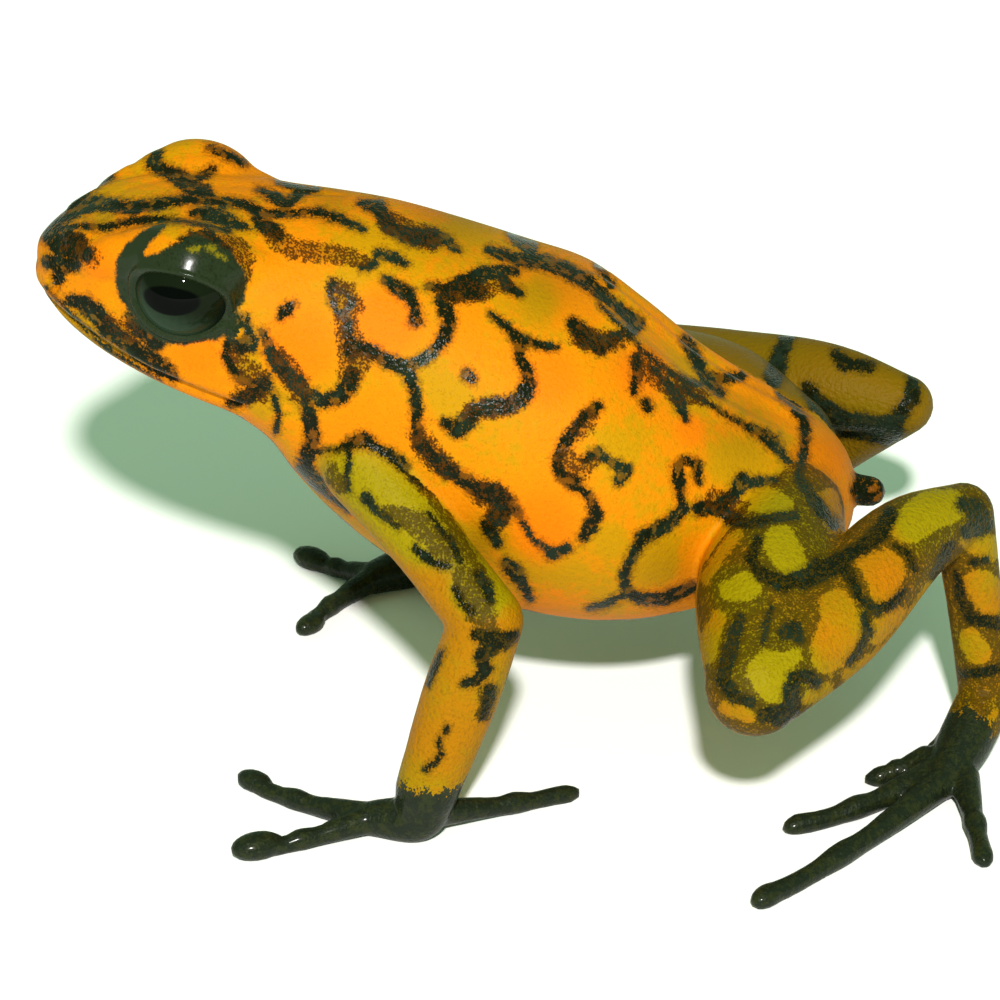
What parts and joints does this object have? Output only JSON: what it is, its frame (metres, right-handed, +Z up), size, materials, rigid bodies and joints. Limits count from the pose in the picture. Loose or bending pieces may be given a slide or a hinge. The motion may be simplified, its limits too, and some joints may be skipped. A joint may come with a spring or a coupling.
{
  "type": "little devil poison frog",
  "caption": "Still, life-size poison frog sitting up on spread hands and feet, with raised head and bulging eyes, orange with a dark network.",
  "frame": {"origin": "on the floor, below the middle of the bounding box", "axes": "+Z up, the frog faces -Y, its left side is +X"},
  "size_m": [0.035, 0.0388, 0.0229],
  "materials": {
    "skin_body": "wet, glossy orange skin with a black network",
    "skin_limb": "wet, finely granular yellow-olive skin with black bands",
    "skin_dark": "wet, finely granular black skin",
    "eye": "high gloss, near-black"
  },
  "bodies": {
    "root": {"head": "skin_body", "torso": "skin_body", "left_eye": "eye", "right_eye": "eye", "left_upper_arm": "skin_limb", "left_forearm": "skin_limb", "left_hand": "skin_dark", "left_finger_1": "skin_dark", "left_finger_2": "skin_dark", "left_finger_3": "skin_dark", "left_finger_4": "skin_dark", "left_thigh": "skin_limb", "left_shank": "skin_limb", "left_tarsus": "skin_limb", "left_foot": "skin_dark", "left_toe_2": "skin_dark", "left_toe_3": "skin_dark", "left_toe_4": "skin_dark", "left_toe_5": "skin_dark", "right_upper_arm": "skin_limb", "right_forearm": "skin_limb", "right_hand": "skin_dark", "right_finger_1": "skin_dark", "right_finger_2": "skin_dark", "right_finger_3": "skin_dark", "right_finger_4": "skin_dark", "right_thigh": "skin_limb", "right_shank": "skin_limb", "right_tarsus": "skin_limb", "right_foot": "skin_dark", "right_toe_2": "skin_dark", "right_toe_3": "skin_dark", "right_toe_4": "skin_dark", "right_toe_5": "skin_dark"}
  },
  "joints": []
}
